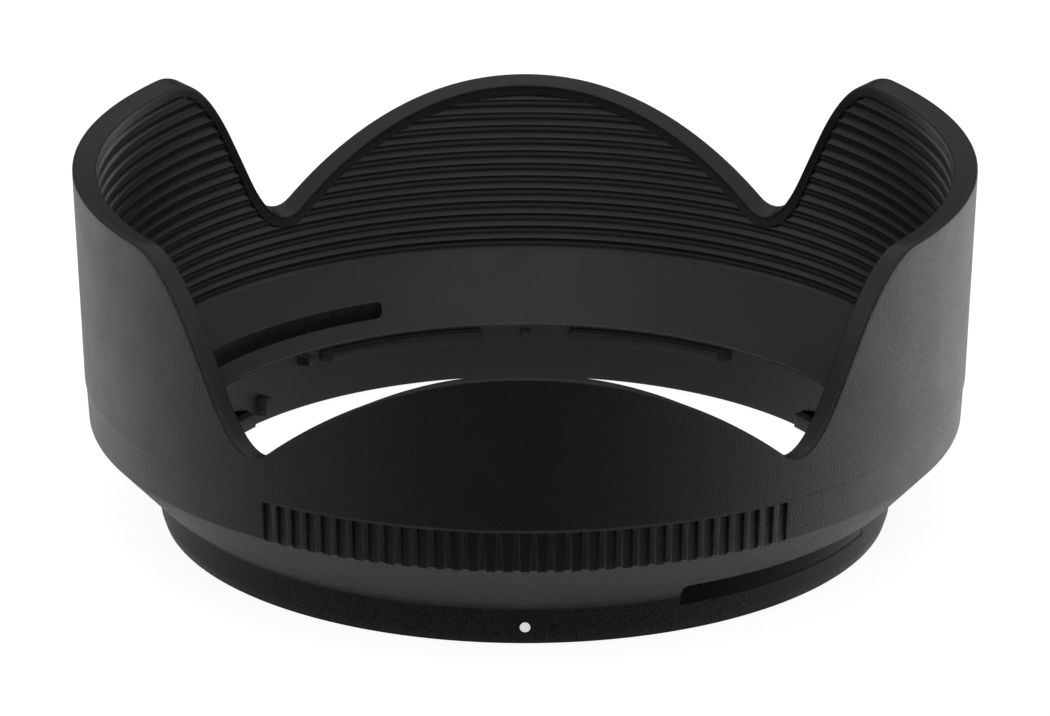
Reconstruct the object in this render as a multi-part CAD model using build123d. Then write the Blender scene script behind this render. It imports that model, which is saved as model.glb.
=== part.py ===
from build123d import *
import math
import os

# Petal lens hood with a bayonet ring, in millimetres, as the separate pieces of a bench assembly.
# The origin is the centre of the ring's bottom face and +Z points out of the petals.
# Azimuths are in degrees from the front (-Y) and grow towards +X: 90 is +X, 180 the back, 270 -X.
# The hood repeats after half a turn, so most details are made for the front and again turned by 180.

os.makedirs("parts", exist_ok=True)

# Ring that goes over the lens barrel
BORE_RADIUS_BOTTOM = 38.94
BORE_RADIUS_LIP = 39.26
LIP_HEIGHT = 6.48
LIP_ROUND = 0.55
RING_RADIUS_BOTTOM = 40.46
RING_RADIUS = 40.82
RING_CHAMFER_HEIGHT = 1.06
RING_WALL_HEIGHT = 4.15
RING_SPLIT_RADIUS = 41.05

# Funnel between the ring and the petals
SHOULDER_RADIUS, SHOULDER_HEIGHT = 42.9, 5.77
SHOULDER_ROUND = 0.6
BAND_RADIUS_BOTTOM, BAND_BOTTOM = 48.59, 11.82
BAND_RADIUS_TOP, BAND_TOP = 48.85, 16.2
LINER_RADIUS_BOTTOM, LINER_BOTTOM = 46.16, 13.14

# Petals
BODY_RADIUS_BOTTOM = 48.98
TOTAL_HEIGHT = 40.8
BODY_RADIUS_TOP = 49.9
LINER_RADIUS_TOP = 47.19
SHORT_PETAL_BASE, SHORT_PETAL_RISE = -37.0, 71.0
LONG_PETAL_SLOPE, LONG_PETAL_FOOT = 2.73, 24.0
NOTCH_BLEND = 11.7
CORNER_BLEND = 8.4
RIM_SLOPE = 0.185
RIM_SAMPLES = 144
RIM_SHEET_RADII = 42.0, 54.0
SLOPE_STEP = 0.1

# Ribbed liner inside the petals
LINER_DEPTH = 0.95
BOND_GAP = 0.03
RIB_PITCH = 1.54
RIB_DEPTH = 0.38
RIM_BORDER = 1.15

# Grip grooves, in a fan at the front and another at the back
GROOVE_COUNT = 33
GROOVE_PITCH = 2.14
GROOVE_WIDTH = 1.06
GROOVE_FLOOR_RADIUS = 48.3

# Spring latches: a slot behind the ring wall frees a length of it. From the ledge that it leaves on the ring's
# outside it is open to below up to its step, and narrow from there to the inner face of the funnel. Its ends
# splay outwards.
SLOT_START, SLOT_END = 24.0, 65.2
SLOT_BOTTOM, SLOT_STEP, SLOT_TOP = 3.16, 6.51, 10.0
SLOT_RADIUS_INSIDE_BOTTOM, SLOT_RADIUS_INSIDE_TOP = 40.65, 41.19
SLOT_RADIUS_OUTSIDE = 42.35
SLOT_END_SPLAY = 17.0
SLOT_CORNER_ROUND = 0.35
ARM_START, ARM_END = 25.0, 64.2
ARM_END_GAP = 0.2

# Bayonet tabs, lugs and nubs on the bore wall
TAB_RADIUS = 37.84
TAB_START, TAB_END = 7.6, 37.5
TAB_LEAD_IN = 1.5
TAB_BOTTOM, TAB_TOP = 4.65, 6.1
TAB_RAMP_START, TAB_RAMP_END, TAB_RAMP_RISE = 20.0, 25.8, 0.4
# Each block: start, end of its inner face, end of its slope on the wall, bottom, top
STOP_BLOCK = (39.5, 41.0, 42.0, 5.25, 6.3)
CLICK_BLOCK = (49.9, 51.45, 52.5, 1.05, 3.1)
BLOCK_RADIUS = 38.05
LUG_START, LUG_END = 54.6, 125.4
LUG_BOTTOM, LUG_TOP = 0.4, 2.1
LUG_RADIUS = 37.9
POCKET_RADIUS = 40.1
POCKET_CROWN, POCKET_CROWN_RADIUS = 5.7, 75.0
NUB_HALF_ANGLE = 0.75
NUB_RADIUS = 38.7
NUB_BOTTOM, NUB_TOP = 4.9, 5.9

# Index dot on the front of the ring
DOT_RADIUS = 0.6
DOT_HEIGHT = 2.05
DOT_DEPTH = 0.25
DOT_PROUD = 0.04

# Heights, radii and a margin that only have to carry a cut past what it cuts
CUT_MARGIN = 2.0
ABOVE = TOTAL_HEIGHT + CUT_MARGIN
WELL_OUTSIDE = 60.0
WELL_INSIDE = 30.0


def on_circle(radius, azimuth, height=0.0):
    angle = math.radians(azimuth)
    return Vector(radius * math.sin(angle), -radius * math.cos(angle), height)


def profile_face(*lines):
    """A closed face in the radius-height plane from connected lines."""
    return Plane.XZ * make_face(Curve() + list(lines))


def turned(face):
    return revolve(face, Axis.Z, 360)


def sector(inner, outer, bottom, top, start, end):
    """A block bounded by two radii, two heights and two azimuths."""
    corners = [(inner, bottom), (outer, bottom), (outer, top), (inner, top)]
    face = profile_face(Polyline(*corners, close=True))
    return Rot(0, 0, start - 90) * revolve(face, Axis.Z, end - start)


def half_turned(shape):
    return Rot(0, 0, 180) * shape


def both_ends(shape):
    return [shape, half_turned(shape)]


def smooth_max(a, b, blend):
    """The larger of two values, rounded where they are closer than blend."""
    near = max(blend - abs(a - b), 0.0) / blend
    return max(a, b) + near * near * blend / 4


def rim_height(azimuth):
    """Height of the rim's outer edge: short petals at the front and back, long ones at the sides."""
    angle = math.radians(azimuth)
    short_petal = SHORT_PETAL_BASE + SHORT_PETAL_RISE * abs(math.cos(angle))
    long_petal = LONG_PETAL_SLOPE * (BODY_RADIUS_TOP * abs(math.sin(angle)) - LONG_PETAL_FOOT)
    outline = smooth_max(short_petal, long_petal, NOTCH_BLEND)
    return -smooth_max(-outline, -TOTAL_HEIGHT, CORNER_BLEND)


def rim_steepness(azimuth):
    """Height measured straight down from the rim for each millimetre measured at right angles to it."""
    change = rim_height(azimuth + SLOPE_STEP) - rim_height(azimuth - SLOPE_STEP)
    return math.hypot(1, change / (math.radians(2 * SLOPE_STEP) * LINER_RADIUS_TOP))


def rim_surface(width):
    """A ring-shaped sheet that follows the rim, leaning inwards, a border's width below it."""
    def edge_at(radius):
        lean = (radius - BODY_RADIUS_TOP) * RIM_SLOPE
        azimuths = [i * 360 / RIM_SAMPLES for i in range(RIM_SAMPLES)]
        points = [
            on_circle(radius, azimuth, rim_height(azimuth) + lean - width * rim_steepness(azimuth))
            for azimuth in azimuths
        ]
        return Edge.make_spline(points, periodic=True)
    inside, outside = RIM_SHEET_RADII
    return Face.make_surface_from_curves(edge_at(inside), edge_at(outside))


def below_rim(shape, width=0.0):
    """The part of a ring-shaped body that lies under the rim, or under a border along the rim."""
    pieces = shape.split(rim_surface(width), keep=Keep.ALL)
    return min(pieces, key=lambda piece: piece.bounding_box().min.Z)


def moulding():
    """The whole body of revolution: ring, funnel and petal wall, before any cut."""
    outer = FilletPolyline(
        (RING_RADIUS, RING_CHAMFER_HEIGHT),
        (RING_RADIUS, RING_WALL_HEIGHT),
        (SHOULDER_RADIUS, SHOULDER_HEIGHT),
        radius=SHOULDER_ROUND,
    )
    inner = FilletPolyline(
        (BORE_RADIUS_BOTTOM, 0),
        (BORE_RADIUS_LIP, LIP_HEIGHT),
        (LINER_RADIUS_BOTTOM, LINER_BOTTOM),
        radius=LIP_ROUND,
    )
    wall_rise = (ABOVE - LINER_BOTTOM) / (TOTAL_HEIGHT - LINER_BOTTOM)
    inner_top = LINER_RADIUS_BOTTOM + (LINER_RADIUS_TOP - LINER_RADIUS_BOTTOM) * wall_rise
    body_rise = (ABOVE - BAND_TOP) / (TOTAL_HEIGHT - BAND_TOP)
    outer_top = BODY_RADIUS_BOTTOM + (BODY_RADIUS_TOP - BODY_RADIUS_BOTTOM) * body_rise
    upper = Polyline(
        (SHOULDER_RADIUS, SHOULDER_HEIGHT),
        (BAND_RADIUS_BOTTOM, BAND_BOTTOM),
        (BAND_RADIUS_TOP, BAND_TOP),
        (BODY_RADIUS_BOTTOM, BAND_TOP),
        (outer_top, ABOVE),
        (inner_top, ABOVE),
        (LINER_RADIUS_BOTTOM, LINER_BOTTOM),
    )
    foot = Polyline((BORE_RADIUS_BOTTOM, 0), (RING_RADIUS_BOTTOM, 0), (RING_RADIUS, RING_CHAMFER_HEIGHT))
    return turned(profile_face(outer, upper, inner, foot))


def liner_radius(height):
    share = (height - LINER_BOTTOM) / (TOTAL_HEIGHT - LINER_BOTTOM)
    return LINER_RADIUS_BOTTOM + (LINER_RADIUS_TOP - LINER_RADIUS_BOTTOM) * share


def liner_pocket():
    """Room for the liner: cut into the petal wall, stopping a border's width below the rim."""
    face = profile_face(Polyline(
        (liner_radius(LINER_BOTTOM) - CUT_MARGIN, LINER_BOTTOM),
        (liner_radius(LINER_BOTTOM) + LINER_DEPTH, LINER_BOTTOM),
        (liner_radius(ABOVE) + LINER_DEPTH, ABOVE),
        (liner_radius(ABOVE) - CUT_MARGIN, ABOVE),
        close=True,
    ))
    return below_rim(turned(face), RIM_BORDER)


def baffle_liner():
    """Thin sleeve whose inner face is a stack of hollow ribs with sharp crests."""
    count = math.ceil((TOTAL_HEIGHT - LINER_BOTTOM) / RIB_PITCH)
    ribs = []
    for i in range(count):
        low = LINER_BOTTOM + BOND_GAP + i * RIB_PITCH
        high = low + RIB_PITCH
        middle = (low + high) / 2
        ribs.append(ThreePointArc(
            (liner_radius(low), low),
            (liner_radius(middle) + RIB_DEPTH, middle),
            (liner_radius(high), high),
        ))
    base = LINER_BOTTOM + BOND_GAP
    top = base + count * RIB_PITCH
    back = LINER_DEPTH - BOND_GAP
    outside = Polyline(
        (liner_radius(base), base),
        (liner_radius(base) + back, base),
        (liner_radius(top) + back, top),
        (liner_radius(top), top),
    )
    return below_rim(turned(profile_face(*ribs, outside)), RIM_BORDER + BOND_GAP)


def slot():
    """The slot behind a latch arm."""
    section = profile_face(Polyline(
        (SLOT_RADIUS_INSIDE_BOTTOM, SLOT_BOTTOM),
        (WELL_OUTSIDE, SLOT_BOTTOM),
        (WELL_OUTSIDE, SLOT_STEP),
        (SLOT_RADIUS_OUTSIDE, SLOT_STEP),
        (SLOT_RADIUS_OUTSIDE, SLOT_TOP),
        (SLOT_RADIUS_INSIDE_TOP, SLOT_TOP),
        close=True,
    ))
    first, last = on_circle(RING_RADIUS, SLOT_START), on_circle(RING_RADIUS, SLOT_END)
    first_side, last_side = on_circle(1, SLOT_START - SLOT_END_SPLAY), on_circle(1, SLOT_END + SLOT_END_SPLAY)
    plan = make_face(Polyline(
        first - first_side * CUT_MARGIN,
        first + first_side * WELL_OUTSIDE,
        last + last_side * WELL_OUTSIDE,
        last - last_side * CUT_MARGIN,
        close=True,
    ))
    cutter = turned(section) & extrude(plan, ABOVE)
    upright = [edge for edge in cutter.edges() if edge.bounding_box().size.Z > (SLOT_TOP - SLOT_STEP) / 2]
    end_edges = [edge for edge in upright if edge.center().Z > SLOT_STEP - CUT_MARGIN]
    near_bore = [edge for edge in end_edges if math.hypot(edge.center().X, edge.center().Y) < SHOULDER_RADIUS]
    return fillet(near_bore, SLOT_CORNER_ROUND)


def grip_grooves():
    """Upright grooves across the grip band."""
    radius = (GROOVE_FLOOR_RADIUS + WELL_OUTSIDE) / 2
    height = (SHOULDER_HEIGHT + BAND_TOP) / 2
    groove = Box(GROOVE_WIDTH, WELL_OUTSIDE - GROOVE_FLOOR_RADIUS, BAND_TOP - SHOULDER_HEIGHT)
    first = -(GROOVE_COUNT - 1) / 2
    azimuths = [(first + i) * GROOVE_PITCH for i in range(GROOVE_COUNT)]
    return [
        Rot(0, 0, azimuth + turn) * Pos(0, -radius, height) * groove
        for azimuth in azimuths for turn in (0, 180)
    ]


def petal_shell(body):
    inner_cut = Cylinder(RING_SPLIT_RADIUS + BOND_GAP, 2 * ABOVE)
    slots = both_ends(slot())
    shell = below_rim(body - inner_cut) - liner_pocket()
    return shell - slots - grip_grooves()


def pocket():
    """Relief in the bore wall above a side lug, with a crowned upper edge."""
    relief = sector(WELL_INSIDE, POCKET_RADIUS, LUG_TOP, POCKET_CROWN, LUG_START, LUG_END)
    crown = Pos(0, 0, POCKET_CROWN - POCKET_CROWN_RADIUS) * Rot(0, 90, 0) * Cylinder(
        POCKET_CROWN_RADIUS, 4 * WELL_OUTSIDE
    )
    return relief & crown


def ring_wall(body):
    """The full ring, out to where the petal shell begins."""
    core = Cylinder(RING_SPLIT_RADIUS, 2 * LINER_BOTTOM)
    return (body & core) - both_ends(pocket()) - both_ends(slot())


def cut_sector(shape, start, end):
    return shape & sector(WELL_INSIDE, WELL_OUTSIDE, -CUT_MARGIN, ABOVE, start, end)


def index_dot():
    inside = RING_RADIUS - DOT_DEPTH
    length = DOT_DEPTH + DOT_PROUD
    return Pos(0, -inside - length / 2, DOT_HEIGHT) * Rot(90, 0, 0) * Cylinder(DOT_RADIUS, length)


def dot_recess():
    radius = DOT_RADIUS + BOND_GAP
    return Pos(0, -RING_RADIUS, DOT_HEIGHT) * Rot(90, 0, 0) * Cylinder(radius, 2 * DOT_DEPTH)


def bayonet_tab():
    """One tab: ramped underside and a slanted leading end."""
    tab = sector(TAB_RADIUS, BORE_RADIUS_LIP, TAB_BOTTOM, TAB_TOP, TAB_START, TAB_END)
    beyond = TAB_END + CUT_MARGIN
    raised = sector(WELL_INSIDE, WELL_OUTSIDE, 0, TAB_BOTTOM + TAB_RAMP_RISE, TAB_RAMP_END, beyond)
    ramp_length = math.radians(TAB_RAMP_END - TAB_RAMP_START) * TAB_RADIUS
    ramp_face = Plane.XZ * make_face(Polyline(
        (-ramp_length / 2, TAB_BOTTOM),
        (ramp_length / 2, TAB_BOTTOM),
        (ramp_length / 2, TAB_BOTTOM + TAB_RAMP_RISE),
        close=True,
    ))
    ramp = extrude(ramp_face, WELL_OUTSIDE)
    ramp = Rot(0, 0, (TAB_RAMP_START + TAB_RAMP_END) / 2) * ramp
    lead_face = make_face(Polyline(
        on_circle(BORE_RADIUS_LIP, TAB_END),
        on_circle(TAB_RADIUS, TAB_END - TAB_LEAD_IN),
        on_circle(WELL_INSIDE, TAB_END - TAB_LEAD_IN),
        on_circle(WELL_INSIDE, beyond),
        on_circle(BORE_RADIUS_LIP, beyond),
        close=True,
    ))
    return tab - raised - ramp - extrude(lead_face, LINER_BOTTOM)


def block(extent):
    """A small block on the bore wall, sloped at one end."""
    start, face_end, wall_end, bottom, top = extent
    plan = make_face(Polyline(
        on_circle(BLOCK_RADIUS, start),
        on_circle(BORE_RADIUS_LIP, start),
        on_circle(BORE_RADIUS_LIP, wall_end),
        on_circle(BLOCK_RADIUS, face_end),
        close=True,
    ))
    return Pos(0, 0, bottom) * extrude(plan, top - bottom)


def write(node, *pieces):
    solids = [solid for piece in pieces for solid in piece.solids()]
    shape = solids[0] if len(solids) == 1 else Compound(solids)
    export_step(shape, f"parts/{node}.step")


def bore_space():
    """The space inside the bore, short of its wall by the bond gap."""
    return turned(profile_face(Polyline(
        (0, 0),
        (BORE_RADIUS_BOTTOM - BOND_GAP, 0),
        (BORE_RADIUS_LIP - BOND_GAP, LIP_HEIGHT),
        (0, LIP_HEIGHT),
        close=True,
    )))


def main():
    body = moulding()
    ring = ring_wall(body)
    bore = bore_space()
    tab = bayonet_tab() & bore
    mirrored_tab = mirror(tab, Plane.YZ)
    lug = sector(LUG_RADIUS, BORE_RADIUS_LIP, LUG_BOTTOM, LUG_TOP, LUG_START, LUG_END) & bore
    stop_block, click_block = [block(extent) & bore for extent in (STOP_BLOCK, CLICK_BLOCK)]
    nub = sector(NUB_RADIUS, BORE_RADIUS_LIP, NUB_BOTTOM, NUB_TOP, -NUB_HALF_ANGLE, NUB_HALF_ANGLE) & bore

    fixed_start, fixed_end = ARM_END + ARM_END_GAP, ARM_START + 180 - ARM_END_GAP
    rear_ring = cut_sector(ring, fixed_start, fixed_end)
    front_ring = half_turned(rear_ring) - dot_recess()
    arm = cut_sector(ring, ARM_START, ARM_END)
    fixed_tab = cut_sector(tab, 0, ARM_START - ARM_END_GAP)
    moving_tab = cut_sector(tab, ARM_START, ARM_END)
    fixed_lug = cut_sector(lug, fixed_start, LUG_END + CUT_MARGIN)
    moving_lug = cut_sector(lug, ARM_START, ARM_END)
    latch_pads = [moving_tab, stop_block, click_block, moving_lug]

    write("petal_shell", petal_shell(body))
    write("baffle_liner", baffle_liner())
    write("bayonet_ring_rear", rear_ring)
    write("bayonet_ring_front", front_ring)
    write("bayonet_tabs", *both_ends(fixed_tab), *both_ends(mirrored_tab))
    write("side_lugs", *both_ends(fixed_lug))
    write("index_nubs", *both_ends(nub))
    write("index_dot", index_dot())
    write("latch_arm_front", arm)
    write("latch_arm_rear", half_turned(arm))
    write("latch_pads_front", *latch_pads)
    write("latch_pads_rear", *[half_turned(pad) for pad in latch_pads])


main()
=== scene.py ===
import math

import bmesh
import bpy
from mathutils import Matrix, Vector


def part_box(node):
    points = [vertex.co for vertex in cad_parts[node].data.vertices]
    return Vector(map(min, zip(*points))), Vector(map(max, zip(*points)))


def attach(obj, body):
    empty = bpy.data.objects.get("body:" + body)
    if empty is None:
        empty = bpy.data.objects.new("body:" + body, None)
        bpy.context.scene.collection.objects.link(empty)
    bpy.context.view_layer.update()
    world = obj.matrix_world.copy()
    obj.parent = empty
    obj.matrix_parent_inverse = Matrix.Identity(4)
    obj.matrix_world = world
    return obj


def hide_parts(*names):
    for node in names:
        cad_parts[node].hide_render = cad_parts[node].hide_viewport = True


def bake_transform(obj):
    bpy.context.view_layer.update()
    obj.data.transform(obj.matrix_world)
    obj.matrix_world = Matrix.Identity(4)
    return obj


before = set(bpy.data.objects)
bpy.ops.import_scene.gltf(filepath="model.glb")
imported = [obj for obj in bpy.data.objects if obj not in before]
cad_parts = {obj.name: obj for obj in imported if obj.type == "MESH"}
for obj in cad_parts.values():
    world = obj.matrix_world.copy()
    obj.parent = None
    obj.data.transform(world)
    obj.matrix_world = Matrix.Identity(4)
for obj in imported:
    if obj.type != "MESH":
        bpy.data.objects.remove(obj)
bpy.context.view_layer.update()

# Petal lens hood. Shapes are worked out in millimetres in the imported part's own frame, as radius, height and
# azimuth (0 is -Y, 90 is +X), and written to meshes in metres.

MM = 0.001


def span_mm(node):
    """Lowest and highest corner of a CAD node."""
    low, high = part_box(node)
    return [value / MM for value in low], [value / MM for value in high]


def foot_and_top(node):
    """Height of a CAD node's lowest and highest point."""
    low, high = span_mm(node)
    return low[2], high[2]


shell_high = span_mm("petal_shell")[1]
dot_low, dot_high = span_mm("index_dot")

# Places on the ring, funnel, band and petals are radii, and heights where their name says so. The ledge, and
# the foot and top of each detail on the bore wall, are heights. Angles are in degrees.

# Ring
BORE_FOOT, BORE_LIP, LIP_HEIGHT, LIP_ROUND = 38.94, 39.26, 6.48, 0.55
RING_FOOT, RING_OUTER, CHAMFER_HEIGHT, RING_TOP_HEIGHT = 40.46, 40.82, 1.06, 4.15
SHOULDER, SHOULDER_HEIGHT, SHOULDER_ROUND = 42.9, 5.77, 0.6

# Funnel and grip band, and the bevelled step over the band
BAND_FOOT, BAND_FOOT_HEIGHT, BAND_TOP, BAND_TOP_HEIGHT = 48.59, 11.82, 48.85, 16.2
BAND_EDGE, BAND_ROWS = 0.12, (0.15, 0.35, 0.6, 0.85)
STEP_BEVEL = 0.36
STEP_TOP_HEIGHT = BAND_TOP_HEIGHT + STEP_BEVEL

# Petals, short at the front and rear and long at the sides, and their rim with its two rounded edges
BODY_FOOT, BODY_TOP, TOTAL_HEIGHT = 48.98, shell_high[0], shell_high[2]
SHORT_BASE, SHORT_RISE, LONG_SLOPE, LONG_FOOT = -37.0, 71.0, 2.73, 24.0
NOTCH_BLEND, CORNER_BLEND, RIM_LEAN = 11.7, 8.4, 0.185
RIM_EDGE_OUT, RIM_EDGE_IN = 0.32, 0.28
BODY_ROWS = 26

# Ribbed liner, its seat in the petal wall, and the smooth border above it
SEAT_GAP, LINER_PLAY = 0.03, 0.02
LINER_FOOT, LINER_FOOT_HEIGHT, LINER_TOP = 46.16, foot_and_top("baffle_liner")[0] - SEAT_GAP, 47.19
LINER_DEPTH, BORDER, RIB_PITCH, RIB_DEPTH = 0.95, 1.15, 1.54, 0.38
RIB_STEPS, LINER_COLUMN = 6, 0.25

# Grip grooves. The edge is distances into a groove, and the share of its depth reached there.
GROOVES, GROOVE_PITCH, GROOVE_WIDTH, GROOVE_FLOOR = 33, 2.14, 1.06, 48.3
GROOVE_EDGE = [(-0.13, 0), (-0.06, 0.03), (-0.015, 0.14), (0.03, 0.86), (0.07, 0.96), (0.14, 1.0)]

# Latch slots and arms: the slot's ends on the ring wall and their splay, the height of the ledge it leaves
# there, its outer mouth, its inner mouth's edges on the arm and on the shell, and its rounds
SLOT_START, SLOT_END, SLOT_SPLAY = 24.0, 65.2, 17.0
LEDGE, ARM_FOOT = 3.16, 40.75
OUTER_MOUTH, INNER_MOUTH = 43.6, (41.05, 42.35)
OUTER_CORNER, INNER_CORNER, SLOT_EDGE = 0.9, 0.45, 0.12
ARM_MIDDLE = (SLOT_START + SLOT_END) / 2

# Radius, and distance along the wall in degrees, at which the splay of a slot's end has died out, and the
# stretch over which it fades
SPLAY_LIMIT, SPLAY_REACH, SPLAY_FADE = LINER_FOOT - 0.1, 6.0, 4.5

# Mesh columns: even ones in half a turn, the closest that two may come, and distances from a slot's end
EVEN_COLUMNS, CLOSEST_COLUMNS = 360, 0.014
CORNER_COLUMNS = (0, 0.02, 0.08, 0.18, 0.32, 0.45, 0.67, 0.9)

# Bayonet tabs, ramped underneath and slanted at the leading end
TAB_RADIUS, TAB_START, TAB_END, TAB_LEAD = 37.84, 7.6, 37.5, 1.5
TAB_FOOT, TAB_TOP = foot_and_top("bayonet_tabs")
RAMP_START, RAMP_END, RAMP_RISE = 20.0, 25.8, 0.4

# Blocks on the latch arms: start, end of the face, end of the slope behind it, foot and top
BLOCK_RADIUS = 38.05
STOP_BLOCK = (39.5, 41.0, 42.0, 5.25, 6.3)
CLICK_BLOCK = (49.9, 51.45, 52.5, 1.05, 3.1)

# Side lugs, and the relief with an arched top above them
LUG_START, LUG_END, LUG_RADIUS = 54.6, 125.4, 37.9
LUG_FOOT, LUG_TOP = foot_and_top("side_lugs")
POCKET_RADIUS, POCKET_CROWN, CROWN_RADIUS, POCKET_STEP = 40.1, 5.7, 75.0, 0.03
LEAST_POCKET = 0.02

# Index nubs
NUB_HALF, NUB_RADIUS = 0.75, 38.7
NUB_FOOT, NUB_TOP = foot_and_top("index_nubs")

# Tabs, blocks, lugs and nubs alike: rounded edge, depth let into the bore wall, and least height over it
PAD_EDGE, PAD_ROOT, PAD_LEAST = 0.1, 0.25, 0.05


def at(radius, azimuth, height):
    angle = math.radians(azimuth)
    return Vector((radius * math.sin(angle), -radius * math.cos(angle), height)) * MM


def azimuth_of(point):
    return math.degrees(math.atan2(point.x, -point.y))


def lerp(a, b, t):
    return a + (b - a) * t


def clamp(share):
    return min(max(share, 0), 1)


def even(start, end, steps):
    """Even steps from start to end, with both of them."""
    return [lerp(start, end, i / steps) for i in range(steps + 1)]


def between(first, last, count):
    """Points strictly between two points of a section."""
    shares = [i / (count + 1) for i in range(1, count + 1)]
    return [(lerp(first[0], last[0], t), lerp(first[1], last[1], t)) for t in shares]


def smooth_max(a, b, blend):
    near = max(blend - abs(a - b), 0.0) / blend
    return max(a, b) + near * near * blend / 4


def rim_height(azimuth):
    """Height of the rim's outer edge."""
    angle = math.radians(azimuth)
    short_petal = SHORT_BASE + SHORT_RISE * abs(math.cos(angle))
    long_petal = LONG_SLOPE * (BODY_TOP * abs(math.sin(angle)) - LONG_FOOT)
    outline = smooth_max(short_petal, long_petal, NOTCH_BLEND)
    return -smooth_max(-outline, -TOTAL_HEIGHT, CORNER_BLEND)


def rim_at(radius, azimuth):
    """The rim's face leans inwards."""
    return rim_height(azimuth) + (radius - BODY_TOP) * RIM_LEAN


def border_foot(azimuth):
    """Lower edge of the smooth border, which is equally wide where the rim is level and where it is steep."""
    step = 0.1
    rise = rim_height(azimuth + step) - rim_height(azimuth - step)
    slope = rise / (math.radians(2 * step) * LINER_TOP)
    return rim_at(liner_radius(rim_height(azimuth)), azimuth) - BORDER * math.hypot(1, slope)


def body_radius(height):
    return lerp(BODY_FOOT, BODY_TOP, (height - BAND_TOP_HEIGHT) / (TOTAL_HEIGHT - BAND_TOP_HEIGHT))


def liner_radius(height):
    return lerp(LINER_FOOT, LINER_TOP, (height - LINER_FOOT_HEIGHT) / (TOTAL_HEIGHT - LINER_FOOT_HEIGHT))


def bore_radius(height):
    return lerp(BORE_FOOT, BORE_LIP, height / LIP_HEIGHT)


def funnel_height(radius):
    """The smooth inner funnel above the lip."""
    return lerp(LIP_HEIGHT, LINER_FOOT_HEIGHT, (radius - BORE_LIP) / (LINER_FOOT - BORE_LIP))


def rounded_corner(before, corner, after, radius, steps):
    """Points of the arc that rounds one corner of a profile."""
    b, c, a = Vector(before), Vector(corner), Vector(after)
    to_b, to_a = (b - c).normalized(), (a - c).normalized()
    half = to_b.angle(to_a) / 2
    reach = radius / math.tan(half)
    centre = c + (to_b + to_a).normalized() * (radius / math.sin(half))
    start, end = c + to_b * reach - centre, c + to_a * reach - centre
    turn = start.angle(end)
    points = []
    for share in even(0, 1, steps):
        weight_a = math.sin((1 - share) * turn) / math.sin(turn)
        weight_b = math.sin(share * turn) / math.sin(turn)
        points.append(tuple(centre + start * weight_a + end * weight_b))
    return points


def quarter_round(start, end, upright):
    """Points of a quarter turn after its start, which it leaves upright or level."""
    points = []
    for degrees in (22, 45, 68, 90):
        turn = math.radians(degrees)
        early, late = math.sin(turn), 1 - math.cos(turn)
        across, up = (late, early) if upright else (early, late)
        points.append((lerp(start[0], end[0], across), lerp(start[1], end[1], up)))
    return points


# Parts of the section that are the same all round: the lip, the ring's foot with its outer wall up to the
# ledge, and the outside above the ledge where there is no slot
LIP_ARC = rounded_corner(
    (LINER_FOOT, LINER_FOOT_HEIGHT), (BORE_LIP, LIP_HEIGHT), (BORE_FOOT, 0), LIP_ROUND, 8
)
BORE_FOOT_ROWS = (1.4, 0.8, 0.25)
FOOT_POINTS = [
    (BORE_FOOT + 0.06, 0.06), (BORE_FOOT + 0.2, 0.0),
    *[(lerp(BORE_FOOT, RING_FOOT, share), 0.0) for share in (0.4, 0.7)],
    (RING_FOOT - 0.1, 0.0), (RING_FOOT + 0.05, 0.07), (RING_OUTER - 0.03, CHAMFER_HEIGHT - 0.12),
    *[(RING_OUTER, z) for z in (1.2, 1.6, 2.4, 2.8, LEDGE)],
]
SHOULDER_POINTS = [
    (RING_OUTER, 3.5),
    *rounded_corner(
        (RING_OUTER, CHAMFER_HEIGHT), (RING_OUTER, RING_TOP_HEIGHT), (SHOULDER, SHOULDER_HEIGHT),
        SHOULDER_ROUND, 8,
    ),
    (SHOULDER, SHOULDER_HEIGHT),
]
FUNNEL_SLOPE = (BAND_FOOT_HEIGHT - SHOULDER_HEIGHT) / (BAND_FOOT - SHOULDER)


def outer_funnel(radius):
    return radius, SHOULDER_HEIGHT + (radius - SHOULDER) * FUNNEL_SLOPE


def folded(azimuth):
    """The same place seen from the front: the hood repeats after half a turn."""
    return (azimuth + 90) % 180 - 90


def slot_depth(azimuth):
    """Distance along the ring wall from the nearer end of the slot, and 0 outside the slot."""
    place = folded(azimuth)
    return max(math.radians(min(place - SLOT_START, SLOT_END - place)) * RING_OUTER, 0.0)


def corner(azimuth, radius):
    """How far the slot's rounded corner reaches in from its edge here."""
    left = max(radius - slot_depth(azimuth), 0.0)
    return radius - math.sqrt(radius ** 2 - left ** 2)


def outer_mouth(azimuth):
    return outer_funnel(OUTER_MOUTH - corner(azimuth, OUTER_CORNER) * math.cos(math.atan(FUNNEL_SLOPE)))


def inner_mouth(azimuth, side):
    """The slot's edge on the inner funnel: side 0 is the arm's, side 1 the shell's."""
    radius = INNER_MOUTH[side] + (1 - 2 * side) * corner(azimuth, INNER_CORNER)
    return radius, funnel_height(radius)


def slot_edge(azimuth):
    """Size of the round along a slot's edges, which runs out at the slot's ends."""
    return max(min(SLOT_EDGE, slot_depth(azimuth) / 4), 1e-4)


def splay(azimuth, radius):
    """Turn of a mesh column at this radius, so that columns follow the slots' splayed ends."""
    outwards = min(max(radius - RING_OUTER, 0), OUTER_MOUTH - RING_OUTER)
    calmed = clamp((SPLAY_LIMIT - radius) / (SPLAY_LIMIT - OUTER_MOUTH))
    turn = math.degrees(math.tan(math.radians(SLOT_SPLAY)) * outwards / radius) * calmed
    near_start, near_end = [
        clamp((SPLAY_REACH - abs(folded(azimuth) - end)) / SPLAY_FADE) for end in (SLOT_START, SLOT_END)
    ]
    return turn * (near_end - near_start)


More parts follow.
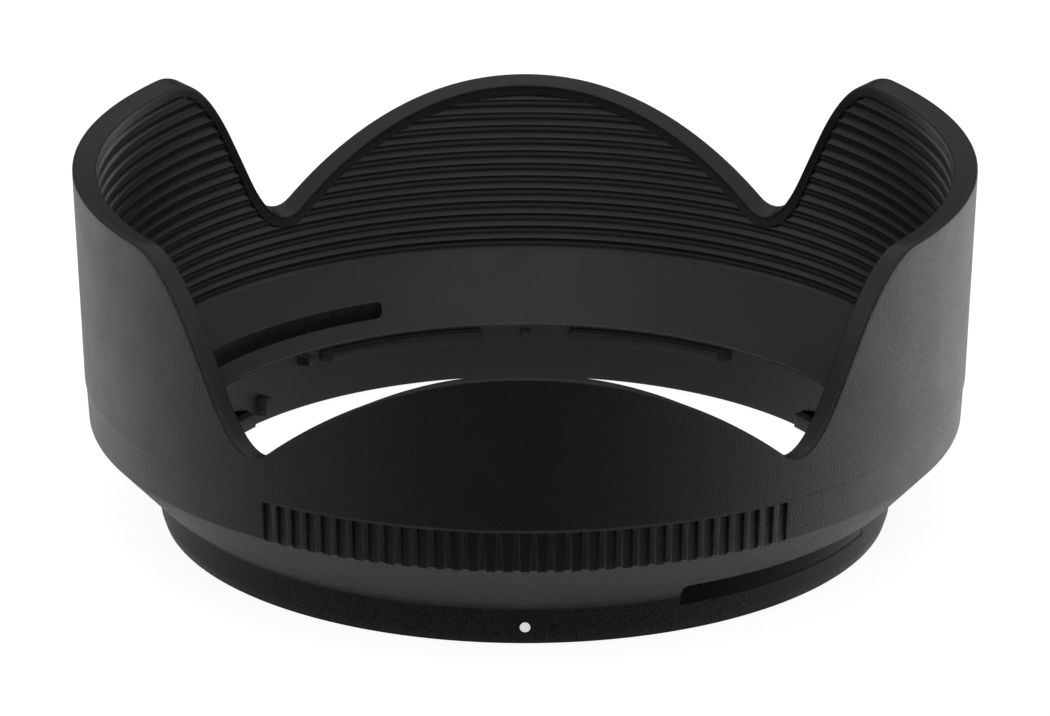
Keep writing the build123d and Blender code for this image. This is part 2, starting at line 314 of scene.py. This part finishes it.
def groove_share(azimuth):
    """How much of its depth a grip groove has at this azimuth, with a small round at its edges."""
    place = folded(azimuth)
    nearest = round(place / GROOVE_PITCH)
    if abs(nearest) > (GROOVES - 1) / 2:
        return 0.0
    inside = GROOVE_WIDTH / 2 - math.radians(abs(place - nearest * GROOVE_PITCH)) * BAND_TOP
    for (near, near_share), (far, far_share) in zip(GROOVE_EDGE, GROOVE_EDGE[1:]):
        if near <= inside <= far:
            return lerp(near_share, far_share, (inside - near) / (far - near))
    return 1.0 if inside > 0 else 0.0


def azimuths(start, end, step, extra=()):
    """Even steps from start to end, and the extra places between them."""
    places = even(start, end, max(1, round((end - start) / step)))
    return sorted(set(places) | set(e for e in extra if start < e < end))


def half_turn_columns():
    """Mesh columns of half the hood, from one slot's start to the next: even steps, and the edges' own."""
    fixed = [SLOT_START, SLOT_END, ARM_MIDDLE, LUG_START, LUG_END]
    fixed += [LUG_START - POCKET_STEP, LUG_END + POCKET_STEP]
    wanted = list(fixed)
    for distance in CORNER_COLUMNS:
        inset = math.degrees(distance / RING_OUTER)
        wanted += [SLOT_START + inset, SLOT_END - inset]
    for i in range(GROOVES):
        centre = 180 + (i - (GROOVES - 1) / 2) * GROOVE_PITCH
        for inside, _ in GROOVE_EDGE:
            offset = math.degrees((GROOVE_WIDTH / 2 - inside) / BAND_TOP)
            wanted += [centre - offset, centre + offset]
    wanted = [SLOT_START + (a - SLOT_START) % 180 for a in wanted]
    wanted += even(SLOT_START, SLOT_START + 180, EVEN_COLUMNS)
    kept = []
    for a in sorted(wanted):
        neighbours = [*fixed, SLOT_START + 180, *kept[-1:]]
        if all(abs(a - other) >= CLOSEST_COLUMNS for other in neighbours):
            kept.append(a)
    return sorted([*kept, *fixed, SLOT_START + 180])


COLUMNS = half_turn_columns()


def columns_between(start, end):
    """Columns from one azimuth to another, both of them columns themselves, up to a turn apart."""
    turns = [-360, -180, 0, 180, 360]
    places = sorted(set(round(a + turn, 9) for a in COLUMNS for turn in turns))
    return [a for a in places if start - 1e-6 <= a <= end + 1e-6]


def pocket_top(azimuth):
    """Upper edge of the relief above a side lug, or None where there is no relief."""
    place = azimuth % 180
    if not LUG_START - 1e-6 <= place <= LUG_END + 1e-6:
        return None
    depth = BORE_FOOT * math.cos(math.radians(place))
    return POCKET_CROWN - CROWN_RADIUS + math.sqrt(CROWN_RADIUS ** 2 - depth ** 2)


def ring_points(azimuth):
    """From the slot's inner mouth down the funnel, over the lip, down the bore, under the ring and up the
    outside to the ledge."""
    mouth_radius = inner_mouth(azimuth, 0)[0]
    points = [(r, funnel_height(r)) for r in even(mouth_radius, LIP_ARC[0][0], 6)]
    points += LIP_ARC[1:]
    crown = pocket_top(azimuth)
    relieved = crown is not None
    crown = max(crown or 0, LUG_TOP + LEAST_POCKET)
    points += [(bore_radius(z), z) for z in even(LIP_ARC[-1][1], crown, 4)[1:-1]]
    for z, deep in ((crown, False), (crown, relieved), (LUG_TOP, relieved), (LUG_TOP, False)):
        points.append((POCKET_RADIUS if deep else bore_radius(z), z))
    points += [(bore_radius(z), z) for z in BORE_FOOT_ROWS]
    return points + FOOT_POINTS


def petal_points(azimuth):
    """From the slot's outer mouth up the outside, over the rim and down inside to its inner mouth."""
    share = groove_share(azimuth)
    start = outer_mouth(azimuth)
    foot = outer_funnel(lerp(BAND_FOOT, GROOVE_FLOOR, share))
    top = (lerp(BAND_TOP, GROOVE_FLOOR, share), BAND_TOP_HEIGHT)
    points = [start, *between(start, foot, 5)]
    points += rounded_corner(start, foot, top, BAND_EDGE, 3)
    points += [(lerp(foot[0], top[0], t), lerp(foot[1], top[1], t)) for t in BAND_ROWS]
    points += [(top[0], top[1] - 0.06), (top[0] + 0.01, top[1])]
    bevel_foot = (BAND_TOP + 0.02, BAND_TOP_HEIGHT)
    bevel_top = (body_radius(STEP_TOP_HEIGHT), STEP_TOP_HEIGHT)
    points += [bevel_foot, *between(bevel_foot, bevel_top, 2), bevel_top]

    rim_out = rim_height(azimuth)
    edge_foot = (body_radius(rim_out), rim_out - RIM_EDGE_OUT)
    face_start = (edge_foot[0] - RIM_EDGE_OUT, rim_out)
    points += [(body_radius(z), z) for z in even(STEP_TOP_HEIGHT + 0.1, edge_foot[1], BODY_ROWS)]
    points += quarter_round(edge_foot, face_start, upright=True)
    inner_radius = liner_radius(rim_out - 0.5)
    rim_in = rim_at(inner_radius + RIM_EDGE_IN, azimuth) + RIM_EDGE_OUT * RIM_LEAN
    face_end = (inner_radius + RIM_EDGE_IN, rim_in)
    edge_end = (inner_radius, rim_in - RIM_EDGE_IN)
    points += [*between(face_start, face_end, 4), face_end]
    points += quarter_round(face_end, edge_end, upright=False)

    border = border_foot(azimuth)
    points += [(liner_radius(z), z) for z in even(edge_end[1], border, 4)[1:]]
    points += [(liner_radius(z) + LINER_DEPTH, z) for z in even(border, LINER_FOOT_HEIGHT, 5)]
    mouth_radius = inner_mouth(azimuth, 1)[0]
    return points + [(r, funnel_height(r)) for r in even(LINER_FOOT, mouth_radius, 8)]


def slot_wall(mouth, outer, inner):
    """The shell's side of the slot, from its outer mouth: a level step, and an upright wall above it."""
    step = (inner[0], mouth[1])
    return between(outer, step, 3) + [step] + between(step, inner, 5)


def solid_section(azimuth):
    """The whole hood, cut where it has no slot."""
    return ring_points(azimuth) + SHOULDER_POINTS + petal_points(azimuth)


def shell_section(azimuth):
    """The shell outside a slot."""
    points = petal_points(azimuth)
    mouth, inner = points[0], points[-1]
    edge = slot_edge(azimuth)
    step = (inner[0], mouth[1])
    first = rounded_corner(step, mouth, points[1], edge, 3)
    last = rounded_corner(points[-2], inner, step, edge, 3)
    return first + points[1:-1] + last + slot_wall(mouth, first[0], last[-1])[::-1]


def arm_section(azimuth):
    """The latch arm inside a slot: the ring wall up to the ledge, and a smooth straight face above it."""
    points = ring_points(azimuth)
    heel = (ARM_FOOT, LEDGE)
    first = rounded_corner(heel, points[0], points[1], slot_edge(azimuth), 3)
    ledge = rounded_corner(points[-2], points[-1], heel, 0.05, 2)
    return first + points[1:-1] + ledge + [heel] + between(heel, first[0], 6)


def slot_end_section(azimuth):
    """The ring's section and the end wall of a slot, in one face."""
    shell = petal_points(azimuth)
    wall = slot_wall(shell[0], shell[0], shell[-1])
    return ring_points(azimuth) + SHOULDER_POINTS + [shell[0], *wall, shell[-1]]


class Sheet:
    """Collects sections and faces into one closed mesh."""

    def __init__(self):
        self.bm = bmesh.new()

    def grid(self, columns, closed=False):
        """Faces between neighbouring columns of equal length."""
        rows = [[self.bm.verts.new(point) for point in column] for column in columns]
        pairs = list(zip(rows, rows[1:])) + ([(rows[-1], rows[0])] if closed else [])
        for left, right in pairs:
            for i in range(len(left) - 1):
                self.bm.faces.new((left[i], right[i], right[i + 1], left[i + 1]))

    def tube(self, loops, closed=False):
        """Faces between neighbouring closed loops."""
        self.grid([loop + loop[:1] for loop in loops], closed)

    def cap(self, loop):
        self.bm.faces.new([self.bm.verts.new(point) for point in loop])

    def finish(self, name, weld=2e-6, sharp=38):
        bmesh.ops.remove_doubles(self.bm, verts=self.bm.verts, dist=weld)
        bmesh.ops.dissolve_degenerate(self.bm, edges=self.bm.edges, dist=weld / 2)
        bmesh.ops.recalc_face_normals(self.bm, faces=self.bm.faces)
        for face in self.bm.faces:
            face.smooth = True
        mesh = bpy.data.meshes.new(name)
        self.bm.to_mesh(mesh)
        self.bm.free()
        mesh.set_sharp_from_angle(angle=math.radians(sharp))
        piece = bpy.data.objects.new(name, mesh)
        bpy.context.collection.objects.link(piece)
        return piece


def placed(points, azimuth):
    return [at(r, azimuth + splay(azimuth, r), z) for r, z in points]


def moulding():
    """Ring, funnel and petals in one, without the two latch arms."""
    sheet = Sheet()
    for turn in (0, 180):
        start, end = SLOT_START + turn, SLOT_END + turn
        sheet.tube([placed(solid_section(a), a) for a in columns_between(end - 180, start)])
        sheet.tube([placed(shell_section(a), a) for a in columns_between(start, end)])
        for a in (start, end):
            sheet.cap(placed(slot_end_section(a), a))
    return sheet.finish("hood_moulding")


def ribbed_liner():
    """Hollow ribs with sharp crests, trimmed along the petals' border."""
    sheet = Sheet()
    foot = LINER_FOOT_HEIGHT + LINER_PLAY
    ribs = math.ceil((TOTAL_HEIGHT - foot) / RIB_PITCH)
    heights = [foot + RIB_PITCH * i / RIB_STEPS for i in range(ribs * RIB_STEPS + 1)]
    back = LINER_DEPTH - SEAT_GAP
    columns = []
    for a in azimuths(0, 360, LINER_COLUMN)[:-1]:
        limit = border_foot(a) - LINER_PLAY
        column = []
        for z in heights:
            z = min(z, limit)
            share = ((z - foot) / RIB_PITCH) % 1
            hollow = RIB_DEPTH * 4 * share * (1 - share)
            column.append((liner_radius(z) + hollow, z))
        column.append((liner_radius(limit) + back, limit))
        column.append((liner_radius(foot) + back, foot))
        columns.append([at(r, a, z) for r, z in column])
    sheet.tube(columns, closed=True)
    return sheet.finish("ribbed_liner", sharp=30)


def same_everywhere(value):
    return lambda azimuth: value


def swept_pad(sheet, places, inner, bottom, top, turn=0, mirrored=False, cut=None):
    """A pad with rounded edges, swept along the bore wall. Its inner radius and its foot may change on the
    way, so they are functions of the azimuth before the pad is mirrored and turned. Where it is cut, to carry
    on in another piece, its end has no round."""
    bulge = PAD_EDGE * 0.3

    def section(a, inset):
        low, high = bottom(a) + inset, top - inset
        far = bore_radius((low + high) / 2) + PAD_ROOT
        near = min(inner(a) + inset, far - PAD_LEAST)
        corners = [(near + PAD_EDGE, low), (near + bulge, low + bulge), (near, low + PAD_EDGE)]
        corners += [(near, high - PAD_EDGE), (near + bulge, high - bulge), (near + PAD_EDGE, high)]
        seen = (-a if mirrored else a) + turn
        return [at(r, seen, z) for r, z in [(far, low), *corners, (far, high)]]

    def end_sections(a, inwards):
        """Sections of a rounded or cut end, from the outermost inwards."""
        if a == cut:
            return [section(a, 0)]
        return [section(a, PAD_EDGE * 0.8), section(a + inwards, 0)]

    edge_turn = math.degrees(PAD_EDGE / BORE_FOOT)
    loops = end_sections(places[0], edge_turn)
    loops += [section(a, 0) for a in places[1:-1]]
    loops += end_sections(places[-1], -edge_turn)[::-1]
    sheet.tube(loops)
    sheet.cap(loops[0])
    sheet.cap(loops[-1])


def tab(sheet, start, end, turn, mirrored=False):
    """A length of a bayonet tab, with its ramped underside and slanted leading end."""
    def inner(a):
        return lerp(TAB_RADIUS, BORE_LIP - PAD_LEAST, max((a - TAB_END) / TAB_LEAD + 1, 0))

    def bottom(a):
        return TAB_FOOT + RAMP_RISE * clamp((a - RAMP_START) / (RAMP_END - RAMP_START))

    places = azimuths(start, end, 1.0, (RAMP_START, RAMP_END, TAB_END - TAB_LEAD))
    swept_pad(sheet, places, inner, bottom, TAB_TOP, turn, mirrored, cut=SLOT_START)


def block(sheet, extent, turn):
    """A small block, sloped at one end."""
    start, face_end, wall_end, foot, top = extent

    def inner(a):
        return lerp(BLOCK_RADIUS, BORE_LIP, max(a - face_end, 0) / (wall_end - face_end))

    swept_pad(sheet, azimuths(start, wall_end, 0.75, (face_end,)), inner, same_everywhere(foot), top, turn)


def lug(sheet, start, end, turn):
    """A length of a side lug."""
    inner, foot = same_everywhere(LUG_RADIUS), same_everywhere(LUG_FOOT)
    swept_pad(sheet, azimuths(start, end, 1.0), inner, foot, LUG_TOP, turn, cut=SLOT_END)


def fixed_tabs():
    sheet = Sheet()
    for turn in (0, 180):
        tab(sheet, TAB_START, SLOT_START, turn)
        tab(sheet, TAB_START, TAB_END, turn, mirrored=True)
    return sheet.finish("bayonet_tabs_moulded", sharp=50)


def side_lugs():
    sheet = Sheet()
    for turn in (0, 180):
        lug(sheet, SLOT_END, LUG_END, turn)
    return sheet.finish("side_lugs_moulded", sharp=50)


def index_nubs():
    sheet = Sheet()
    places = azimuths(-NUB_HALF, NUB_HALF, 0.5)
    for turn in (0, 180):
        swept_pad(sheet, places, same_everywhere(NUB_RADIUS), same_everywhere(NUB_FOOT), NUB_TOP, turn)
    return sheet.finish("index_nubs_moulded", sharp=50)


def near_pads(sheet, turn):
    tab(sheet, SLOT_START, TAB_END, turn)
    block(sheet, STOP_BLOCK, turn)


def far_pads(sheet, turn):
    block(sheet, CLICK_BLOCK, turn)
    lug(sheet, LUG_START, SLOT_END, turn)


def latch_half(name, start, end, turn, pads):
    """Half of a latch arm, from its root in the ring to its middle, with the pads that it carries."""
    sheet = Sheet()
    loops = [placed(arm_section(a), a) for a in columns_between(start + turn, end + turn)]
    sheet.tube(loops)
    sheet.cap(loops[0])
    sheet.cap(loops[-1])
    pads(sheet, turn)
    return sheet.finish(name)


def latch(place, turn):
    """Both halves of a latch arm, each a piece of its own. On the real hood each bends from its root, which
    stays with the hood.
    """
    body = f"latch_{place}"
    halves = (
        ("near", SLOT_START, ARM_MIDDLE, near_pads, f"latch_arm_{place}"),
        ("far", ARM_MIDDLE, SLOT_END, far_pads, f"latch_pads_{place}"),
    )
    for half, start, end, pads, node in halves:
        piece = latch_half(f"{body}_{half}", start, end, turn, pads)
        finish_moulded(piece)
        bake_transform(piece)
        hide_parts(node)


def index_dot():
    """A drop of paint, domed, with a soft edge."""
    sheet = Sheet()
    radius = (dot_high[0] - dot_low[0]) / 2
    centre = (dot_low[2] + dot_high[2]) / 2
    front, back = dot_low[1], dot_high[1]
    # Share of the radius, and depth behind the drop's middle
    dome = [
        (0.02, 0.0), (0.35, 0.004), (0.7, 0.012), (0.88, 0.02), (0.96, 0.035), (1.0, 0.07), (1.0, 0.2),
    ]
    columns = []
    for degrees in even(0, 360, 48)[:-1]:
        turn = math.radians(degrees)
        wobble = 1 - 0.02 * (1 + math.sin(3 * turn + 0.6)) / 2 - 0.015 * (1 + math.sin(5 * turn)) / 2
        column = []
        for share, depth in dome:
            r = radius * share * wobble
            place = (r * math.cos(turn), min(front + depth, back), centre + r * math.sin(turn))
            column.append(Vector(place) * MM)
        columns.append(column)
    sheet.grid(columns, closed=True)
    sheet.cap([column[0] for column in columns])
    sheet.cap([column[-1] for column in columns])
    return sheet.finish("index_dot_paint", sharp=60)


def node_tree(name):
    material = bpy.data.materials.new(name)
    material.use_nodes = True
    tree = material.node_tree
    return material, tree, tree.nodes["Principled BSDF"]


def noise(tree, place, size, detail):
    """Noise with spots of about this size in millimetres."""
    texture = tree.nodes.new("ShaderNodeTexNoise")
    texture.inputs["Scale"].default_value = 1 / (size * MM)
    texture.inputs["Detail"].default_value = detail
    tree.links.new(place.outputs["Object"], texture.inputs["Vector"])
    return texture.outputs["Fac"]


def spread(tree, value, from_range, to_range, interpolation="LINEAR"):
    """A value's range mapped to another range."""
    node = tree.nodes.new("ShaderNodeMapRange")
    node.interpolation_type = interpolation
    for name, number in zip(("From Min", "From Max", "To Min", "To Max"), (*from_range, *to_range)):
        node.inputs[name].default_value = number
    tree.links.new(value, node.inputs["Value"])
    return node.outputs["Result"]


def bump(tree, height, depth, shader):
    """Relief of this depth in millimetres."""
    node = tree.nodes.new("ShaderNodeBump")
    node.inputs["Strength"].default_value = 1.0
    node.inputs["Distance"].default_value = depth * MM
    tree.links.new(height, node.inputs["Height"])
    tree.links.new(node.outputs["Normal"], shader.inputs["Normal"])


def tint(tree, factor, dark, light, shader):
    """The shader's colour goes from dark to light with the factor."""
    node = tree.nodes.new("ShaderNodeMix")
    node.data_type = "RGBA"
    node.inputs["A"].default_value = (*dark, 1)
    node.inputs["B"].default_value = (*light, 1)
    tree.links.new(factor, node.inputs["Factor"])
    tree.links.new(node.outputs["Result"], shader.inputs["Base Color"])


def moulded_plastic(name, shade, roughness, grain, depth, specular=0.5):
    """Black moulded plastic: a spark-eroded grain of this size and depth, and a slightly uneven gloss."""
    material, tree, shader = node_tree(name)
    shader.inputs["IOR"].default_value = 1.5
    shader.inputs["Specular IOR Level"].default_value = specular
    place = tree.nodes.new("ShaderNodeTexCoord")
    pits = noise(tree, place, grain, 2.0)
    clouds = noise(tree, place, 6.0, 3.0)
    bump(tree, pits, depth, shader)

    gloss = tree.nodes.new("ShaderNodeMath")
    gloss.operation = "ADD"
    cloudy = spread(tree, clouds, (0.35, 0.65), (roughness - 0.02, roughness + 0.02))
    pitted = spread(tree, pits, (0.3, 0.7), (-0.05, 0.05))
    tree.links.new(cloudy, gloss.inputs[0])
    tree.links.new(pitted, gloss.inputs[1])
    tree.links.new(gloss.outputs["Value"], shader.inputs["Roughness"])

    dark = (shade * 0.3, shade * 0.3, shade * 0.3)
    light = (shade * 1.7, shade * 1.7, shade * 1.75)
    tint(tree, spread(tree, pits, (0.3, 0.7), (0.0, 1.0)), dark, light, shader)
    return material


def paint(name):
    """White paint that glows a little, to read as white in dim light."""
    material, tree, shader = node_tree(name)
    place = tree.nodes.new("ShaderNodeTexCoord")
    unevenness = noise(tree, place, 0.25, 3.0)
    bump(tree, unevenness, 0.01, shader)
    tint(tree, unevenness, (0.86, 0.86, 0.85), (0.95, 0.95, 0.94), shader)
    shader.inputs["Roughness"].default_value = 0.45
    shader.inputs["Emission Color"].default_value = (1, 1, 1, 1)
    shader.inputs["Emission Strength"].default_value = 0.45
    return material


# The pads are painted lighter than the rest of the inside, to light their dim top faces: painted light.
pad_plastic_painted_light = moulded_plastic("black_pads_painted_light", 0.018, roughness=0.38, grain=0.22, depth=0.012, specular=0.3)
rib_plastic = moulded_plastic("black_ribs", 0.006, roughness=0.35, grain=0.2, depth=0.012)
white_paint = paint("white_fill_paint")
FINISHES = (
    moulded_plastic("black_wall", 0.002, roughness=0.40, grain=0.19, depth=0.07),
    moulded_plastic("black_funnel", 0.02, roughness=0.42, grain=0.2, depth=0.26, specular=0.42),
    # The ring's reflection is turned far down, to stand in for the shaded table under the funnel that it would
    # reflect: painted shade.
    moulded_plastic("black_ring_painted_shade", 0.03, roughness=0.42, grain=0.17, depth=0.09, specular=0.05),
    moulded_plastic("black_inside", 0.006, roughness=0.38, grain=0.22, depth=0.02),
    # The lip's round is painted lighter than the rest of the inside: a painted highlight.
    moulded_plastic("black_lip_painted_highlight", 0.03, roughness=0.34, grain=0.22, depth=0.01),
    pad_plastic_painted_light,
    # The arm's outer face is as smooth as the slot's walls but painted darker than them: painted shade.
    moulded_plastic("black_arm_faces_painted_shade", 0.006, roughness=0.30, grain=0.2, depth=0.004, specular=0.04),
    # The walls inside a slot are painted lighter than the arm's face, for light that hardly reaches into the
    # slot: painted light.
    moulded_plastic("black_slot_faces_painted_light", 0.022, roughness=0.30, grain=0.2, depth=0.004, specular=0.04),
)
WALL, FUNNEL, RING_PAINTED_SHADE, INSIDE, LIP_PAINTED_HIGHLIGHT, PAD_PAINTED_LIGHT, ARM_FACE_PAINTED_SHADE, SLOT_FACE_PAINTED_LIGHT = range(len(FINISHES))


def finish_of(face):
    """Index of the finish of a face, by where it is on the hood and which way it looks."""
    centre = face.center / MM
    radius = math.hypot(centre.x, centre.y)
    outwards = (face.normal.x * centre.x + face.normal.y * centre.y) / radius
    under_funnel = funnel_height(radius) - centre.z
    above_ledge = centre.z > LEDGE
    in_slot = slot_depth(azimuth_of(centre)) > 0
    on_arm = in_slot and above_ledge and under_funnel > 0 and radius < INNER_MOUTH[0] + 0.02
    on_slot_wall = above_ledge and under_funnel > 0.1 and radius > INNER_MOUTH[0] and outwards < 0.05
    on_slot_end = abs(outwards) < 0.5 and abs(face.normal.z) < 0.3
    # The arm's outer face takes its painted shade.
    if on_arm and outwards > 0.5:
        return ARM_FACE_PAINTED_SHADE
    # Walls and ends inside a slot take its painted light.
    if centre.z < BAND_FOOT_HEIGHT - 0.5 and (on_slot_end or on_slot_wall):
        return SLOT_FACE_PAINTED_LIGHT
    # Tabs, blocks and lugs on the bore take the pads' painted light.
    if radius < BORE_FOOT - 0.1:
        return PAD_PAINTED_LIGHT
    if outwards < 0.05:
        # Faces on the lip's round take its painted highlight.
        on_lip = radius < LIP_ARC[0][0] and centre.z > LIP_ARC[-1][1]
        return LIP_PAINTED_HIGHLIGHT if on_lip else INSIDE
    # Below the shoulder the outside takes the ring's finish with its painted shade.
    if centre.z < RING_TOP_HEIGHT:
        return RING_PAINTED_SHADE
    return FUNNEL if centre.z < BAND_FOOT_HEIGHT - 0.1 else WALL


def finish_moulded(piece):
    """Grained outside, coarsest on the funnel, finer inside, almost smooth on the lip and in the slots. Lip,
    pads and slot walls carry painted light, the arm faces and the ring painted shade.
    """
    mesh = piece.data
    for material in FINISHES:
        mesh.materials.append(material)
    for face in mesh.polygons:
        face.material_index = finish_of(face)


def finish_plain(piece, material):
    piece.data.materials.append(material)


hood = moulding()
finish_moulded(hood)
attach(hood, "hood")
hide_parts("petal_shell", "bayonet_ring_front", "bayonet_ring_rear")

for piece, material, slot_name, node in (
    (ribbed_liner(), rib_plastic, "liner_plastic", "baffle_liner"),
    (fixed_tabs(), pad_plastic_painted_light, "ring_plastic", "bayonet_tabs"),
    (side_lugs(), pad_plastic_painted_light, "ring_plastic", "side_lugs"),
    (index_nubs(), pad_plastic_painted_light, "ring_plastic", "index_nubs"),
    (index_dot(), white_paint, "index_paint", "index_dot"),
):
    finish_plain(piece, material)
    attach(piece, "hood")
    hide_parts(node)

latch("front", 0)
latch("rear", 180)


def glowing(name, strength):
    """Pale material that shines."""
    material, _, shader = node_tree(name)
    shader.inputs["Base Color"].default_value = (0.35, 0.35, 0.35, 1)
    shader.inputs["Emission Color"].default_value = (1, 1, 1, 1)
    shader.inputs["Emission Strength"].default_value = strength
    return material, shader


def floor():
    """A white table that the camera sees, and that lets the light from below through to the hood."""
    half = 3.0
    mesh = bpy.data.meshes.new("studio_floor")
    corners = [(-half, -half, 0), (half, -half, 0), (half, half, 0), (-half, half, 0)]
    mesh.from_pydata(corners, [], [(0, 1, 2, 3)])
    ground = bpy.data.objects.new("studio_floor", mesh)
    bpy.context.collection.objects.link(ground)
    material, shader = glowing("pale_floor", 0.9)
    shader.inputs["Roughness"].default_value = 0.9
    shader.inputs["Specular IOR Level"].default_value = 0.0
    mesh.materials.append(material)
    ground.visible_diffuse = ground.visible_glossy = False
    ground.visible_transmission = ground.visible_shadow = False


def ring_glow():
    """The part of the white table inside the ring, which shines up into the bore."""
    sheet = Sheet()
    radii, height = [0.1, 10, 20, 30, 39.5], -0.05
    sheet.grid([[at(r, a, height) for r in radii] for a in even(0, 360, 64)[:-1]], closed=True)
    disc = sheet.finish("studio_table_inside_ring")
    material, _ = glowing("table_glow", 0.38)
    disc.data.materials.append(material)
    disc.visible_camera = disc.visible_shadow = False


def world_math(tree, operation, first, second=None):
    node = tree.nodes.new("ShaderNodeMath")
    node.operation = operation
    for socket, value in zip(node.inputs, (first, second)):
        if isinstance(value, (int, float)):
            socket.default_value = value
        elif value is not None:
            tree.links.new(value, socket)
    return node.outputs["Value"]


def light_panel(
    tree, direction, height, azimuth, elevation, reach, strength, core=0, below=None, above=None
):
    """A soft panel of light on the studio's dome. It is even inside its core and fades out up to its reach,
    both in degrees from its middle, and is cut off softly at a highest or lowest sine of elevation."""
    softness = 0.08
    flat = math.cos(math.radians(elevation))
    axis = (
        flat * math.sin(math.radians(azimuth)),
        -flat * math.cos(math.radians(azimuth)),
        math.sin(math.radians(elevation)),
    )
    product = tree.nodes.new("ShaderNodeVectorMath")
    product.operation = "DOT_PRODUCT"
    product.inputs[1].default_value = axis
    tree.links.new(direction, product.inputs[0])
    angle = world_math(tree, "ARCCOSINE", product.outputs["Value"])
    fade = (math.radians(reach), math.radians(core))
    light = spread(tree, angle, fade, (0.0, strength), "SMOOTHSTEP")
    for limit, inwards in ((below, -softness), (above, softness)):
        if limit is not None:
            inside = spread(tree, height, (limit - inwards, limit + inwards), (0.0, 1.0), "SMOOTHSTEP")
            light = world_math(tree, "MULTIPLY", light, inside)
    return light


# Middle, reach, core and strength of each panel, and the sines of elevation where it is cut off. Four are
# round the rear and the sides below the horizon, one is underneath, two are at the sides above the horizon,
# and two are overhead.
PANELS = (
    {"azimuth": 130, "elevation": -22, "reach": 78, "strength": 1.2, "below": 0.0, "above": -0.64},
    {"azimuth": 88, "elevation": -22, "reach": 95, "strength": 0.66, "below": 0.0, "above": -0.64},
    {"azimuth": -140, "elevation": -22, "reach": 55, "strength": 0.75, "below": 0.0, "above": -0.64},
    {"azimuth": -92, "elevation": -22, "reach": 98, "strength": 0.6, "below": 0.0, "above": -0.64},
    {"azimuth": 180, "elevation": -85, "reach": 58, "core": 16, "strength": 0.88, "below": -0.74},
    {"azimuth": 80, "elevation": 20, "reach": 36, "strength": 0.65, "above": 0.06},
    {"azimuth": -80, "elevation": 20, "reach": 36, "strength": 0.65, "above": 0.06},
    {"azimuth": 0, "elevation": 72, "reach": 45, "strength": 0.55},
    {"azimuth": 0, "elevation": 90, "reach": 82, "core": 55, "strength": 0.5},
)


def studio():
    """Soft panels on a dark dome, which itself is white to the camera."""
    dome_glow, camera_white = 0.002, 1.05
    world = bpy.data.worlds.new("studio")
    bpy.context.scene.world = world
    world.use_nodes = True
    tree = world.node_tree
    nodes, links = tree.nodes, tree.links
    place = nodes.new("ShaderNodeTexCoord")
    direction = place.outputs["Generated"]
    parts = nodes.new("ShaderNodeSeparateXYZ")
    links.new(direction, parts.inputs["Vector"])
    total = dome_glow
    for panel in PANELS:
        total = world_math(tree, "ADD", light_panel(tree, direction, parts.outputs["Z"], **panel), total)
    dome = nodes["Background"]
    dome.inputs["Color"].default_value = (1, 1, 1, 1)
    links.new(total, dome.inputs["Strength"])
    white = nodes.new("ShaderNodeBackground")
    white.inputs["Color"].default_value = (1, 1, 1, 1)
    white.inputs["Strength"].default_value = camera_white
    path = nodes.new("ShaderNodeLightPath")
    mix = nodes.new("ShaderNodeMixShader")
    links.new(path.outputs["Is Camera Ray"], mix.inputs["Fac"])
    links.new(dome.outputs["Background"], mix.inputs[1])
    links.new(white.outputs["Background"], mix.inputs[2])
    links.new(mix.outputs["Shader"], nodes["World Output"].inputs["Surface"])
    bpy.context.scene.view_settings.view_transform = "Standard"


def camera():
    """A long lens in front of the hood, looking slightly down on it."""
    distance = 0.8337
    elevation, pitch = math.radians(22.05), math.radians(20.94)
    data = bpy.data.cameras.new("photo_view")
    data.sensor_width, data.lens = 36.0, 254.6
    data.clip_start, data.clip_end = 0.05, 20
    viewer = bpy.data.objects.new("photo_view", data)
    viewer.location = (0, -distance * math.cos(elevation), distance * math.sin(elevation))
    viewer.rotation_euler = (math.pi / 2 - pitch, 0, 0)
    bpy.context.collection.objects.link(viewer)
    bpy.context.scene.camera = viewer


floor()
ring_glow()
studio()
camera()
